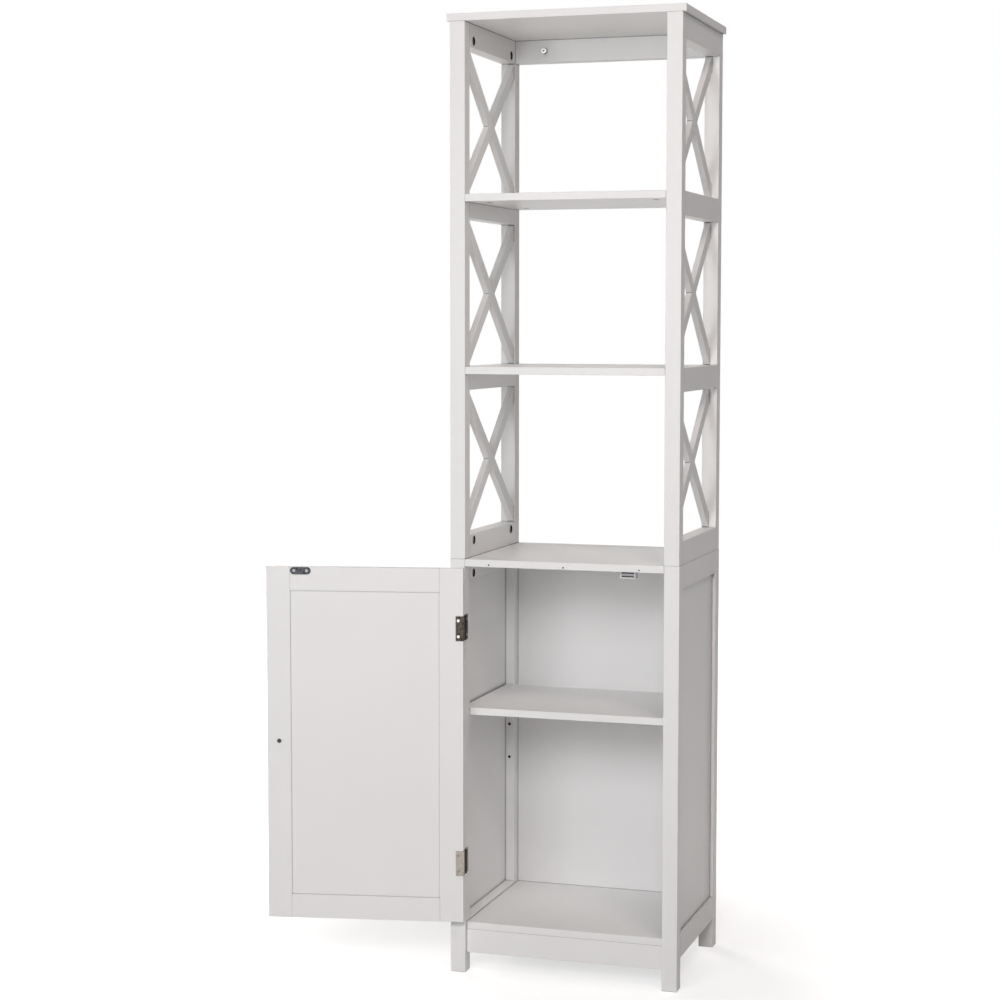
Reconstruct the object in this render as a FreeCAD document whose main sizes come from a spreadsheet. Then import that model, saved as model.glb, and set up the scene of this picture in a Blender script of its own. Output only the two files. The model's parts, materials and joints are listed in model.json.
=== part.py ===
import FreeCAD, Part
import os
import re
import Sketcher

# A tall, narrow bathroom cabinet in white lacquered board: an open shelf tower with crossed braces
# in its sides, standing on a cupboard with one door. All lengths are millimetres. The origin is on
# the floor in the middle of the cabinet's footprint: X runs to its right, Y to its back, Z up.
# The door is drawn about its hinge axis as if shut, and is then swung open.

Vector = FreeCAD.Vector
Rotation = FreeCAD.Rotation

SIZES = {
    # the two sections and the stock that they are made of
    "upper_width": 380, "lower_step": 0.5, "frame_depth": 293,
    "upper_height": 860, "lower_height": 683,
    "post_size": 25, "rail_height": 38, "board_thickness": 12, "edge_radius": 0.8,
    "top_overhang": 5.5, "high_shelf_level": 1270, "low_shelf_level": 994,
    "base_rail_height": 38, "base_rail_level": 49.5,
    "floor_level": 83, "floor_setback": 8, "apron_height": 39, "apron_thickness": 12,
    # tenons on the ends of the side rails and of the apron, and loose dowels elsewhere
    "tenon_length": 12, "tenon_thickness": 8, "tenon_shoulder": 8, "apron_tenon_length": 8,
    "dowel_radius": 3, "dowel_half": 15, "dowel_bite": 8, "dowel_distance": 50,
    # crossed braces
    "brace_width": 20, "brace_thickness": 10, "brace_setback": 2,
    # thin panels: side panels in grooves, the back panel in a rebate with nails
    "side_panel_thickness": 3, "side_panel_recess": 6, "side_groove_depth": 6,
    "back_panel_thickness": 3, "back_panel_recess": 1, "back_rebate": 8, "panel_edge_radius": 0.3,
    "nail_radius": 0.8, "nail_length": 14, "nail_head_radius": 1.6, "nail_head_height": 0.6,
    # loose shelf and its pins
    "shelf_clearance": 1, "pin_radius": 2.5, "pin_level": 424, "pin_pitch": 58,
    "pin_inset": 16, "pin_depth": 10, "pin_reach": 9,
    # cam locks in the side rails, and the bolts that they hold
    "cam_radius": 7.5, "cam_depth": 15.8, "cam_setback": 27, "cam_end_distance": 46,
    "bolt_radius": 3, "bolt_bite": 8, "cup_wall": 0.6, "cup_depth": 3,
    "socket_radius": 2.5, "socket_depth": 1.5,
    # smaller cam locks under the fixed boards
    "board_cam_radius": 6, "board_cam_depth": 9, "board_cup_depth": 1.5,
    "board_bolt_radius": 2.5, "board_bolt_bite": 12,
    "middle_cam_distance": 82,
    # wall fixing through the back rail
    "wall_hole_inset": 52.5, "bush_radius": 4.5, "bush_bore_radius": 1.5, "bush_proud": 6,
    # pilot holes in the front edge of the cupboard's top board
    "pilot_spacing": 125, "pilot_radius": 1.3, "pilot_depth": 6, "pilot_drop": 8.5,
    # door
    "door_thickness": 15, "door_latch_gap": 5.1, "door_top_gap": 1.5, "door_bottom_gap": 6.2,
    "door_member": 39, "door_panel_thickness": 6, "door_panel_recess": 2, "door_groove_depth": 8,
    "door_open_angle": 168.5,
    # wrap-round hinges; the axis lies in front of the cabinet
    "axis_inset": 1.7, "axis_forward": 2.5, "door_edge_offset": 1.2,
    "leaf_thickness": 1, "leaf_height": 40, "cabinet_leaf_reach": 13, "door_leaf_reach": 12,
    "knuckle_radius": 2.2, "hinge_pin_radius": 1.2, "hinge_pin_clearance": 0.05, "knuckle_gap": 0.3,
    "hinge_end_distance": 97.5, "hinge_screw_spacing": 26, "hinge_screw_reach": 8,
    # countersunk screws of the hinges, the strike plate and the catch
    "screw_radius": 1.4, "screw_length": 11, "screw_head_radius": 2.4, "screw_head_depth": 1,
    "cross_length": 2.6, "cross_width": 0.6, "cross_depth": 0.6,
    # magnetic catch and its strike plate
    "catch_inset": 63, "catch_width": 24.5, "catch_height": 12, "catch_depth": 16,
    "catch_wall": 2, "ear_span": 37, "ear_thickness": 2.5, "ear_depth": 9, "pole_thickness": 2,
    "magnet_proud": 0.8, "catch_gap": 0.3, "strike_top_inset": 0.4, "strike_shift": 1.5,
    "strike_length": 33.5, "strike_height": 11.8, "strike_thickness": 1.2,
    "strike_screw_spacing": 21.2, "dimple_radius": 2, "dimple_depth": 0.6,
    # knob on the door's front and the screw that holds it
    "knob_radius": 13, "knob_height": 22, "knob_neck_radius": 6, "knob_neck_height": 10,
    "knob_rounding": 4, "knob_inset": 19.5, "knob_rise": 293.5,
    "knob_screw_radius": 2, "knob_screw_grip": 8, "knob_screw_head_radius": 3.2,
    "knob_screw_head_height": 1.6,
}

# Places that follow from the sizes. A name here stands for its formula wherever it is used.
PLACES = {
    "front": "-frame_depth / 2",
    "back": "frame_depth / 2",
    "upper_out": "upper_width / 2",
    "upper_in": "upper_width / 2 - post_size",
    "lower_out": "upper_out + lower_step",
    "lower_in": "lower_out - post_size",
    "bolt_line": "upper_in + post_size / 2",
    "front_post_back": "front + post_size",
    "back_post_front": "back - post_size",
    "bay_depth": "back_post_front - front_post_back",
    "frame_top": "lower_height + upper_height",
    "middle_board_under": "lower_height - board_thickness",
    "floor_board_under": "floor_level - board_thickness",
    "apron_under": "floor_board_under - apron_height",
    "apron_middle": "front + floor_setback + apron_thickness / 2",
    "base_rail_top": "base_rail_level + base_rail_height",
    "lower_rail_under": "lower_height - rail_height",
    # thin panels
    "side_panel_far": "lower_out - side_panel_recess",
    "side_panel_near": "side_panel_far - side_panel_thickness",
    "back_panel_back": "back - back_panel_recess",
    "back_panel_front": "back_panel_back - back_panel_thickness",
    # the hinge axis in the cabinet, and the shut door about that axis
    "axis_x": "-lower_in + axis_inset",
    "axis_y": "front - axis_forward",
    "door_near": "door_edge_offset",
    "door_far": "2 * lower_in - axis_inset - door_latch_gap",
    "door_low": "floor_level + door_bottom_gap",
    "door_high": "middle_board_under - door_top_gap",
    "door_face": "axis_forward",
    "door_inside": "axis_forward + door_thickness",
    "panel_inside": "door_inside - door_panel_recess",
    "panel_face": "panel_inside - door_panel_thickness",
    "panel_left": "door_near + door_member",
    "panel_right": "door_far - door_member",
    "panel_low": "door_low + door_member",
    "panel_high": "door_high - door_member",
    "knob_x": "door_far - knob_inset",
    "knob_z": "door_low + knob_rise",
    # the catch in the cabinet, and its strike plate on the door
    "catch_x": "lower_in - catch_inset",
    "pole_front": "front + door_thickness + strike_thickness + catch_gap",
    "catch_front": "pole_front + magnet_proud",
    "catch_low": "middle_board_under - catch_height",
    "catch_back": "catch_front + catch_depth",
    "ear_middle": "catch_front + catch_depth / 2",
    "strike_x": "catch_x - axis_x + strike_shift",
    "strike_z": "door_high - strike_top_inset - strike_height / 2",
}

SIDES = {"left": -1, "right": 1}

TURNS = {
    "+x": Rotation(Vector(0, 1, 0), 90), "-x": Rotation(Vector(0, 1, 0), -90),
    "+y": Rotation(Vector(1, 0, 0), -90), "-y": Rotation(Vector(1, 0, 0), 90),
    "+z": Rotation(), "-z": Rotation(Vector(1, 0, 0), 180),
}

doc = FreeCAD.newDocument("TallBathroomCabinet")
sheet = doc.addObject("Spreadsheet::Sheet", "Sizes")
for row, (alias, value) in enumerate(SIZES.items(), 1):
    sheet.set("A%d" % row, alias)
    sheet.set("B%d" % row, str(value))
    sheet.setAlias("B%d" % row, alias)
doc.recompute()

nodes = {}


def formula(text):
    """Turn words that name a size or a place into an expression on the sheet."""
    def swap(match):
        word = match.group(0)
        if word in PLACES:
            return "(" + formula(PLACES[word]) + ")"
        return "Sizes." + word if word in SIZES else word
    return re.sub(r"[a-z_]+", swap, str(text))


def bind(item, prop, text):
    item.setExpression(prop, formula(text))


def bind_place(item, corner, turn="+z"):
    item.Placement = FreeCAD.Placement(Vector(), TURNS[turn])
    for letter, text in zip("xyz", corner):
        bind(item, ".Placement.Base." + letter, text)


def minus(first, second):
    return "(%s) - (%s)" % (first, second)


def across(side, near, far):
    """Low and high X of something between two distances from the middle, on one side."""
    if SIDES[side] > 0:
        return near, far
    return "-(%s)" % far, "-(%s)" % near


def moved(point, turn, distance):
    """A point shifted along one of the six directions."""
    axis = "xyz".index(turn[1])
    shifted = "(%s) %s (%s)" % (point[axis], turn[0], distance)
    return tuple(shifted if index == axis else text for index, text in enumerate(point))


def swing(item):
    """Stand a piece that is drawn about the hinge axis at that axis, opened."""
    bind(item, ".Placement.Base.x", "axis_x")
    bind(item, ".Placement.Base.y", "axis_y")
    bind(item, ".Placement.Rotation.Angle", "-door_open_angle")


def plane(body, role):
    return next(item for item in body.Origin.OriginFeatures if item.Role == role)


def outline(body, name, role, points, offset="0"):
    """A closed four-sided sketch through points whose coordinates are formulas."""
    sketch = body.newObject("Sketcher::SketchObject", name)
    sketch.AttachmentSupport = (plane(body, role), [""])
    sketch.MapMode = "FlatFace"
    bind(sketch, ".AttachmentOffset.Base.z", offset)
    rough = [Vector(0, 0, 0), Vector(10, 0, 0), Vector(10, 10, 0), Vector(0, 10, 0)]
    for index in range(4):
        sketch.addGeometry(Part.LineSegment(rough[index], rough[(index + 1) % 4]))
    for index in range(4):
        sketch.addConstraint(Sketcher.Constraint("Coincident", index, 2, (index + 1) % 4, 1))
    for index, point in enumerate(points):
        for kind, text in zip(("DistanceX", "DistanceY"), point):
            number = sketch.addConstraint(Sketcher.Constraint(kind, -1, 1, index, 1, 1.0))
            bind(sketch, "Constraints[%d]" % number, text)
    return sketch


def pad(body, sketch, thickness):
    feature = body.newObject("PartDesign::Pad", body.Name + "_pad")
    feature.Profile = sketch
    bind(feature, "Length", thickness)
    return feature


def along(axis):
    return lambda edge: abs(edge_direction(edge).dot(axis)) > 0.99


def edge_direction(edge):
    return (edge.Vertexes[-1].Point - edge.Vertexes[0].Point).normalize()


def any_edge(edge):
    return True


def slanted(edge):
    direction = edge_direction(edge)
    return abs(direction.y) > 0.01 and abs(direction.z) > 0.01


def ease(body, base, chosen, radius="edge_radius"):
    """Round the chosen edges of a feature."""
    doc.recompute()
    names = ["Edge%d" % number for number, edge in enumerate(base.Shape.Edges, 1) if chosen(edge)]
    feature = body.newObject("PartDesign::Fillet", body.Name + "_easing")
    feature.Base = (base, names)
    bind(feature, "Radius", radius)


def board(name, low, high, chosen=any_edge, radius="edge_radius", on_door=False):
    """A rectangular piece between two corners, with eased edges."""
    body = doc.addObject("PartDesign::Body", name)
    if on_door:
        corners = [(low[0], low[1]), (high[0], low[1]), (high[0], high[1]), (low[0], high[1])]
        sketch = outline(body, name + "_outline", "XY_Plane", corners, low[2])
        swing(body)
    else:
        length, width = minus(high[0], low[0]), minus(high[1], low[1])
        corners = [("0", "0"), (length, "0"), (length, width), ("0", width)]
        sketch = outline(body, name + "_outline", "XY_Plane", corners)
        bind_place(body, low)
    ease(body, pad(body, sketch, minus(high[2], low[2])), chosen, radius)
    nodes[name] = {"item": body, "home": ("0", "0", "0") if on_door else low}
    return body


def feature_at(node, kind, corner, turn="+z"):
    """A primitive feature of a node's body, placed in the frame that the node is drawn in."""
    item = nodes[node]["item"].newObject("PartDesign::" + kind, node + "_" + kind)
    bind_place(item, [minus(a, b) for a, b in zip(corner, nodes[node]["home"])], turn)
    return item


def drill(node, mouth, turn, radius, depth):
    hole = feature_at(node, "SubtractiveCylinder", mouth, turn)
    bind(hole, "Radius", radius)
    bind(hole, "Height", depth)


def block(node, kind, low, high):
    """Cut (SubtractiveBox) or add (AdditiveBox) a block between two corners."""
    item = feature_at(node, kind, low)
    for prop, bottom, top in zip(("Length", "Width", "Height"), low, high):
        bind(item, prop, minus(top, bottom))


def rod(name, start, turn, radius, length):
    item = doc.addObject("Part::Cylinder", name)
    bind_place(item, start, turn)
    bind(item, "Radius", radius)
    bind(item, "Height", length)
    return item


def cone(name, start, turn, first_radius, last_radius, length):
    item = doc.addObject("Part::Cone", name)
    bind_place(item, start, turn)
    bind(item, "Radius1", first_radius)
    bind(item, "Radius2", last_radius)
    bind(item, "Height", length)
    return item


def brick(name, low, high):
    item = doc.addObject("Part::Box", name)
    bind_place(item, low)
    for prop, bottom, top in zip(("Length", "Width", "Height"), low, high):
        bind(item, prop, minus(top, bottom))
    return item


def fuse(name, items):
    item = doc.addObject("Part::MultiFuse", name)
    item.Shapes = items
    item.Refine = True
    return item


def cut(name, base, tool):
    item = doc.addObject("Part::Cut", name)
    item.Base = base
    item.Tool = tool
    return item


def group(name, items, on_door=False):
    """Pieces of one kind, kept apart as solids of one node."""
    item = doc.addObject("Part::Compound", name)
    item.Links = items
    if on_door:
        swing(item)
    nodes[name] = {"item": item}


def cross(name, face_level):
    """The tool that cuts a cross recess in a screw head whose face is at a level of its own frame."""
    arms = []
    for label, half_x, half_y in (("a", "cross_length / 2", "cross_width / 2"),
                                  ("b", "cross_width / 2", "cross_length / 2")):
        low = ("-" + half_x, "-" + half_y, face_level + " - cross_depth")
        arms.append(brick(name + "_arm_" + label, low, (half_x, half_y, face_level)))
    return fuse(name, arms)


def screw(name, face, outward):
    """A countersunk screw whose head is level with a face. Gives the screw and its blank."""
    head = cone(name + "_head", ("0", "0", "-screw_head_depth"), "+z",
                "screw_radius", "screw_head_radius", "screw_head_depth")
    shank = rod(name + "_shank", ("0", "0", "-screw_length"), "+z",
                "screw_radius", "screw_length - screw_head_depth")
    blank = fuse(name + "_blank", [head, shank])
    recess = cross(name + "_cross", "0")
    for item in (blank, recess):
        bind_place(item, face, outward)
    return cut(name, blank, recess), blank


OUTWARD = {"left": "-x", "right": "+x"}
INWARD = {"left": "+x", "right": "-x"}
POST_SPANS = {"front": ("front", "front_post_back"), "back": ("back_post_front", "back")}
TENON_SPANS = {
    "front": ("front_post_back - tenon_length", "front_post_back"),
    "back": ("back_post_front", "back_post_front + tenon_length"),
}


def on_side(side, distance):
    """X of something at a distance from the middle, on one side."""
    return distance if SIDES[side] > 0 else "-(%s)" % distance


# ---- posts of the shelf tower and legs of the cupboard ----
for side in SIDES:
    for end, (start, stop) in POST_SPANS.items():
        left, right = across(side, "upper_in", "upper_out")
        board("upper_%s_%s_post" % (side, end), (left, start, "lower_height"), (right, stop, "frame_top"))
        left, right = across(side, "lower_in", "lower_out")
        board("lower_%s_%s_leg" % (side, end), (left, start, "0"), (right, stop, "lower_height"))


# ---- side rails, with a tenon in the front and the back upright of their side ----
def side_rail(side, section, label, low, high):
    inner, outer, upright = {
        "upper": ("upper_in", "upper_out", "post"), "lower": ("lower_in", "lower_out", "leg"),
    }[section]
    left, right = across(side, inner, outer)
    name = "%s_%s_%s_rail" % (section, side, label)
    board(name, (left, "front_post_back", low), (right, "back_post_front", high), along(Vector(0, 1, 0)))
    middle = on_side(side, inner + " + post_size / 2")
    for end, (start, stop) in TENON_SPANS.items():
        tenon_low = (middle + " - tenon_thickness / 2", start, low + " + tenon_shoulder")
        tenon_high = (middle + " + tenon_thickness / 2", stop, high + " - tenon_shoulder")
        block(name, "AdditiveBox", tenon_low, tenon_high)
        block("%s_%s_%s_%s" % (section, side, end, upright), "SubtractiveBox", tenon_low, tenon_high)


for side in SIDES:
    side_rail(side, "upper", "base", "lower_height", "lower_height + rail_height")
    side_rail(side, "upper", "low", "low_shelf_level - rail_height", "low_shelf_level")
    side_rail(side, "upper", "high", "high_shelf_level - rail_height", "high_shelf_level")
    side_rail(side, "upper", "top", "frame_top - rail_height", "frame_top")
    side_rail(side, "lower", "base", "base_rail_level", "base_rail_top")
    side_rail(side, "lower", "top", "lower_rail_under", "lower_height")

# ---- crossed braces ----
# Each bar runs from corner to corner of its bay. Its ends are cut upright against the posts, so
# the height of that cut follows from the bar's width and the bay's proportions.
BAYS = {
    "low": ("lower_height + rail_height", "low_shelf_level - rail_height"),
    "middle": ("low_shelf_level", "high_shelf_level - rail_height"),
    "high": ("high_shelf_level", "frame_top - rail_height"),
}
for bay, (low, high) in BAYS.items():
    PLACES["rise_" + bay] = minus(high, low)
    PLACES["end_cut_" + bay] = (
        "brace_width * (bay_depth * sqrt(bay_depth ^ 2 + rise_{0} ^ 2 - brace_width ^ 2)"
        " - brace_width * rise_{0}) / (bay_depth ^ 2 - brace_width ^ 2)").format(bay)


def bar_corners(bay, slope):
    ends = [("0", "end_cut_" + bay), ("rise_%s - end_cut_%s" % (bay, bay), "rise_" + bay)]
    at_front, at_back = ends if slope == "rising" else reversed(ends)
    return [("0", at_front[0]), ("bay_depth", at_back[0]), ("bay_depth", at_back[1]), ("0", at_front[1])]


def brace_bar(name, corner, bay, slope, other, lap_offset):
    """One bar, with half its thickness taken away where the other bar crosses it."""
    body = doc.addObject("PartDesign::Body", name)
    bind_place(body, corner)
    bar = outline(body, name + "_outline", "YZ_Plane", bar_corners(bay, slope))
    ease(body, pad(body, bar, "brace_thickness"), slanted)
    pocket = body.newObject("PartDesign::Pocket", name + "_half_lap")
    pocket.Profile = outline(body, name + "_lap", "YZ_Plane", bar_corners(bay, other), lap_offset)
    pocket.Reversed = True
    bind(pocket, "Length", "brace_thickness / 2")
    return body


for side in SIDES:
    near, _ = across(side, "upper_in + brace_setback", "upper_in + brace_setback + brace_thickness")
    for bay, (low, high) in BAYS.items():
        name = "%s_%s_brace" % (side, bay)
        corner = (near, "front_post_back", low)
        group(name, [
            brace_bar(name + "_falling_bar", corner, bay, "falling", "rising", "0"),
            brace_bar(name + "_rising_bar", corner, bay, "rising", "falling", "brace_thickness / 2"),
        ])

# ---- boards and the back rail ----
board("top_board", ("-upper_out - top_overhang", "front", "frame_top"),
      ("upper_out + top_overhang", "back", "frame_top + board_thickness"))
board("wall_rail", ("-upper_in", "back_post_front", "frame_top - rail_height"),
      ("upper_in", "back", "frame_top"), along(Vector(1, 0, 0)))
for name in ("high_shelf", "low_shelf"):
    level = name + "_level"
    board(name, ("-upper_in", "front", level + " - board_thickness"), ("upper_in", "back", level))
board("middle_board", ("-lower_in", "front", "middle_board_under"), ("lower_in", "back", "lower_height"))
board("floor_board", ("-lower_in", "front + floor_setback", "floor_board_under"),
      ("lower_in", "back", "floor_level"))
board("front_apron", ("-lower_in", "front + floor_setback", "apron_under"),
      ("lower_in", "front + floor_setback + apron_thickness", "floor_board_under"),
      along(Vector(1, 0, 0)))
for side in SIDES:
    left, right = across(side, "lower_in", "lower_in + apron_tenon_length")
    low = (left, "apron_middle - tenon_thickness / 2", "apron_under + tenon_shoulder")
    high = (right, "apron_middle + tenon_thickness / 2", "floor_board_under - tenon_shoulder")
    block("front_apron", "AdditiveBox", low, high)
    block("lower_%s_front_leg" % side, "SubtractiveBox", low, high)
for place in ("-pilot_spacing", "0", "pilot_spacing"):
    drill("middle_board", (place, "front", "lower_height - pilot_drop"), "+y", "pilot_radius", "pilot_depth")

# ---- thin panels of the cupboard ----
for side in SIDES:
    left, right = across(side, "side_panel_near", "side_panel_far")
    low = (left, "front_post_back - side_groove_depth", "base_rail_top - side_groove_depth")
    high = (right, "back_post_front + side_groove_depth", "lower_rail_under + side_groove_depth")
    board(side + "_side_panel", low, high, along(Vector(1, 0, 0)), "panel_edge_radius")
    for holder in ("front_leg", "back_leg", "base_rail", "top_rail"):
        block("lower_%s_%s" % (side, holder), "SubtractiveBox", low, high)

low = ("-lower_in - back_rebate", "back_panel_front", "floor_level - back_rebate")
high = ("lower_in + back_rebate", "back_panel_back", "middle_board_under + back_rebate")
board("back_panel", low, high, along(Vector(0, 1, 0)), "panel_edge_radius")
for holder in ("floor_board", "middle_board", "lower_left_back_leg", "lower_right_back_leg"):
    block(holder, "SubtractiveBox", low, (high[0], "back", high[2]))

nails = []
NAIL_LEVELS = ["floor_level + (middle_board_under - floor_level) * %d / 5" % step for step in range(6)]
for side in SIDES:
    for level in NAIL_LEVELS:
        mouth = (on_side(side, "lower_in + back_rebate / 2"), "back_panel_back", level)
        name = "nail_%d" % len(nails)
        shank = rod(name + "_shank", mouth, "-y", "nail_radius", "nail_length")
        head = rod(name + "_head", mouth, "+y", "nail_head_radius", "nail_head_height")
        drill("back_panel", mouth, "-y", "nail_radius", "back_panel_thickness")
        drill("lower_%s_back_leg" % side, moved(mouth, "-y", "back_panel_thickness"), "-y",
              "nail_radius", "nail_length - back_panel_thickness")
        nails.append(fuse(name, [shank, head]))
group("back_panel_nails", nails)

# ---- cam locks and the bolts that they hold ----
cams, bolts = [], []


def cam(mouth, turn, radius, depth, cup_depth, bolt):
    """A round cup-shaped lock let into a face, bored for its bolt and with a hexagonal socket."""
    name = "cam_%d" % len(cams)
    barrel = rod(name + "_barrel", mouth, turn, radius, depth)
    cup = rod(name + "_cup", mouth, turn, radius + " - cup_wall", cup_depth)
    socket = doc.addObject("Part::Prism", name + "_socket")
    bind_place(socket, mouth, turn)
    bind(socket, "Circumradius", "socket_radius")
    bind(socket, "Height", cup_depth + " + socket_depth")
    cams.append(cut(name, barrel, fuse(name + "_hollow", [cup, socket, bolt])))


def bolt_between(start, turn, radius, length):
    bolts.append(rod("bolt_%d" % len(bolts), start, turn, radius, length))
    return bolts[-1]


for side in SIDES:
    for y in ("front + cam_end_distance", "back - cam_end_distance"):
        # top board onto the top rail
        rail = "upper_%s_top_rail" % side
        level = "frame_top - cam_setback"
        seat = (on_side(side, "bolt_line"), y, level)
        bolt = bolt_between(seat, "+z", "bolt_radius", "cam_setback + bolt_bite")
        drill(rail, seat, "+z", "bolt_radius", "cam_setback")
        drill("top_board", (seat[0], y, "frame_top"), "+z", "bolt_radius", "bolt_bite")
        mouth = (on_side(side, "upper_in"), y, level)
        drill(rail, mouth, OUTWARD[side], "cam_radius", "cam_depth")
        cam(mouth, OUTWARD[side], "cam_radius", "cam_depth", "cup_depth", bolt)
        # shelf tower onto the cupboard, with one bolt held by a cam at each end
        seat = (on_side(side, "bolt_line"), y, "lower_height - cam_setback")
        bolt = bolt_between(seat, "+z", "bolt_radius", "2 * cam_setback")
        for section, turn in (("upper", "+z"), ("lower", "-z")):
            rail = "%s_%s_%s_rail" % (section, side, "base" if section == "upper" else "top")
            joint = (seat[0], y, "lower_height")
            drill(rail, joint, turn, "bolt_radius", "cam_setback")
            mouth = moved((on_side(side, section + "_in"), y, "lower_height"), turn, "cam_setback")
            drill(rail, mouth, OUTWARD[side], "cam_radius", "cam_depth")
            cam(mouth, OUTWARD[side], "cam_radius", "cam_depth", "cup_depth", bolt)

FIXED_BOARDS = {
    "high_shelf": ("upper", "high", "high_shelf_level", "cam_end_distance"),
    "low_shelf": ("upper", "low", "low_shelf_level", "cam_end_distance"),
    "middle_board": ("lower", "top", "lower_height", "middle_cam_distance"),
    "floor_board": ("lower", "base", "floor_level", "cam_end_distance"),
}
for name, (section, label, level, distance) in FIXED_BOARDS.items():
    for side in SIDES:
        rail = "%s_%s_%s_rail" % (section, side, label)
        end_x = on_side(side, section + "_in")
        middle = level + " - board_thickness / 2"
        for y in ("front + " + distance, "back - " + distance):
            mouth = moved((end_x, y, level + " - board_thickness"), INWARD[side], "cam_setback")
            seat = (mouth[0], y, middle)
            bolt = bolt_between(seat, OUTWARD[side], "board_bolt_radius", "cam_setback + board_bolt_bite")
            drill(name, seat, OUTWARD[side], "board_bolt_radius", "cam_setback")
            drill(rail, (end_x, y, middle), OUTWARD[side], "board_bolt_radius", "board_bolt_bite")
            drill(name, mouth, "+z", "board_cam_radius", "board_cam_depth")
            cam(mouth, "+z", "board_cam_radius", "board_cam_depth", "board_cup_depth", bolt)
group("cam_locks", cams)
group("cam_bolts", bolts)

# ---- dowels, hidden in the joints ----
dowels = []


def dowel(joint, turn, behind, ahead, bite="dowel_half"):
    """A dowel half in the piece behind the joint and partly in the piece ahead of it."""
    back_turn = ("-" if turn[0] == "+" else "+") + turn[1]
    drill(behind, joint, back_turn, "dowel_radius", "dowel_half")
    drill(ahead, joint, turn, "dowel_radius", bite)
    start = moved(joint, back_turn, "dowel_half")
    dowels.append(rod("dowel_%d" % len(dowels), start, turn, "dowel_radius", "dowel_half + " + bite))


for side in SIDES:
    for y in ("-dowel_distance", "dowel_distance"):
        for name, (section, label, level, _) in FIXED_BOARDS.items():
            joint = (on_side(side, section + "_in"), y, level + " - board_thickness / 2")
            dowel(joint, OUTWARD[side], name, "%s_%s_%s_rail" % (section, side, label))
        dowel((on_side(side, "bolt_line"), y, "frame_top"), "+z", "upper_%s_top_rail" % side,
              "top_board", "dowel_bite")
        dowel((on_side(side, "bolt_line"), y, "lower_height"), "+z", "lower_%s_top_rail" % side,
              "upper_%s_base_rail" % side)
    for share in ("1 / 4", "3 / 4"):
        joint = (on_side(side, "upper_in"), "back - post_size / 2", "frame_top - rail_height * " + share)
        dowel(joint, OUTWARD[side], "wall_rail", "upper_%s_back_post" % side, "dowel_bite")
group("frame_dowels", dowels)

# ---- bushes for the two wall screws ----
bushes = []
for side in SIDES:
    mouth = (on_side(side, "upper_in - wall_hole_inset"), "back_post_front", "frame_top - rail_height / 2")
    drill("wall_rail", mouth, "+y", "bush_radius", "post_size")
    start = moved(mouth, "-y", "bush_proud")
    name = side + "_bush"
    sleeve = rod(name + "_sleeve", start, "+y", "bush_radius", "bush_proud + post_size")
    bore = rod(name + "_bore", start, "+y", "bush_bore_radius", "bush_proud + post_size")
    bushes.append(cut(name, sleeve, bore))
group("wall_bushes", bushes)

# ---- loose shelf on four pins, with two lower rows of pin holes ----
board("inner_shelf",
      ("-side_panel_near + shelf_clearance", "front_post_back + shelf_clearance", "pin_level"),
      ("side_panel_near - shelf_clearance", "back_post_front - shelf_clearance",
       "pin_level + board_thickness"))
pins = []
for side in SIDES:
    for end, face, into in (("front", "front_post_back", "-y"), ("back", "back_post_front", "+y")):
        leg = "lower_%s_%s_leg" % (side, end)
        x = on_side(side, "lower_out - pin_inset")
        for row in ("0", "1", "2"):
            drill(leg, (x, face, "pin_level - pin_pitch * " + row), into, "pin_radius", "pin_depth")
        # the end that stands out of the leg is flat on top, level with the pin's axis
        tip = face + " - (%s1) * pin_reach" % into[0]
        near, far = (face, tip) if end == "front" else (tip, face)
        name = "%s_%s_pin" % (side, end)
        shank = rod(name + "_shank", (x, tip, "pin_level"), into, "pin_radius", "pin_reach + pin_depth")
        flat = brick(name + "_flat", (x + " - pin_radius", near, "pin_level"),
                     (x + " + pin_radius", far, "pin_level + pin_radius"))
        pins.append(cut(name, shank, flat))
group("shelf_pins", pins)

# ---- door: a frame with stub tenons in its grooves, round a flat panel ----
board("door_hinge_stile", ("door_near", "door_face", "door_low"),
      ("panel_left", "door_inside", "door_high"), on_door=True)
board("door_latch_stile", ("panel_right", "door_face", "door_low"),
      ("door_far", "door_inside", "door_high"), on_door=True)
board("door_bottom_rail", ("panel_left", "door_face", "door_low"),
      ("panel_right", "door_inside", "panel_low"), along(Vector(1, 0, 0)), on_door=True)
board("door_top_rail", ("panel_left", "door_face", "panel_high"),
      ("panel_right", "door_inside", "door_high"), along(Vector(1, 0, 0)), on_door=True)
low = ("panel_left - door_groove_depth", "panel_face", "panel_low - door_groove_depth")
high = ("panel_right + door_groove_depth", "panel_inside", "panel_high + door_groove_depth")
board("door_panel", low, high, along(Vector(0, 1, 0)), "panel_edge_radius", on_door=True)
for holder in ("door_hinge_stile", "door_latch_stile", "door_bottom_rail", "door_top_rail"):
    block(holder, "SubtractiveBox", low, high)
for rail, bottom, top in (("door_bottom_rail", "door_low + door_groove_depth", low[2]),
                          ("door_top_rail", high[2], "door_high - door_groove_depth")):
    for stile, start, stop in (("door_hinge_stile", low[0], "panel_left"),
                               ("door_latch_stile", "panel_right", high[0])):
        ends = (start, "panel_face", bottom), (stop, "panel_inside", top)
        block(rail, "AdditiveBox", *ends)
        block(stile, "SubtractiveBox", *ends)

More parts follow.
